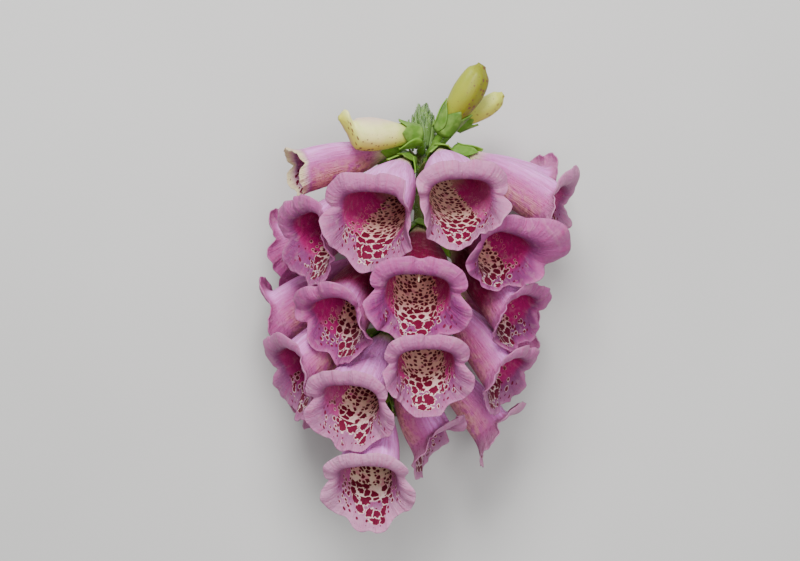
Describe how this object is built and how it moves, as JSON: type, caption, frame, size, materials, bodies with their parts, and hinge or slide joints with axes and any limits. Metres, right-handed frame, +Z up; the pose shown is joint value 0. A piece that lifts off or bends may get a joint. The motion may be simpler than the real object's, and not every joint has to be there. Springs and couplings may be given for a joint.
{
  "type": "foxglove flower spike",
  "caption": "Cut foxglove flower spike lying on its back: a stem crowded with drooping speckled lilac-pink bells, with buds and a hairy growing tip at its upper end.",
  "frame": {"origin": "on the surface that the spike lies on, under the middle of its bounding box", "axes": "+Y along the stem to the growing tip, +Z up from the surface, +X to the spike's right seen from above"},
  "size_m": [0.1013, 0.145, 0.0831],
  "materials": {
    "stem": "satin",
    "calyx": "satin",
    "corolla": "satin",
    "bud": "satin",
    "tip": "matte"
  },
  "bodies": {
    "root": {"stem": "stem", "growing_tip": "tip", "corolla_01": "corolla", "calyx_01": "calyx", "corolla_02": "corolla", "calyx_02": "calyx", "corolla_03": "corolla", "calyx_03": "calyx", "corolla_04": "corolla", "calyx_04": "calyx", "corolla_05": "corolla", "calyx_05": "calyx", "corolla_06": "corolla", "calyx_06": "calyx", "corolla_07": "corolla", "calyx_07": "calyx", "corolla_08": "corolla", "calyx_08": "calyx", "corolla_09": "corolla", "calyx_09": "calyx", "corolla_10": "corolla", "calyx_10": "calyx", "corolla_11": "corolla", "calyx_11": "calyx", "corolla_12": "corolla", "calyx_12": "calyx", "corolla_13": "corolla", "calyx_13": "calyx", "corolla_14": "corolla", "calyx_14": "calyx", "corolla_15": "corolla", "calyx_15": "calyx", "corolla_16": "corolla", "calyx_16": "calyx", "corolla_17": "corolla", "calyx_17": "calyx", "corolla_18": "corolla", "calyx_18": "calyx", "corolla_19": "corolla", "calyx_19": "calyx", "corolla_20": "corolla", "calyx_20": "calyx", "corolla_21": "corolla", "calyx_21": "calyx", "bud_22": "bud", "calyx_22": "calyx", "bud_23": "bud", "calyx_23": "calyx", "bud_24": "bud", "calyx_24": "calyx"}
  },
  "joints": []
}
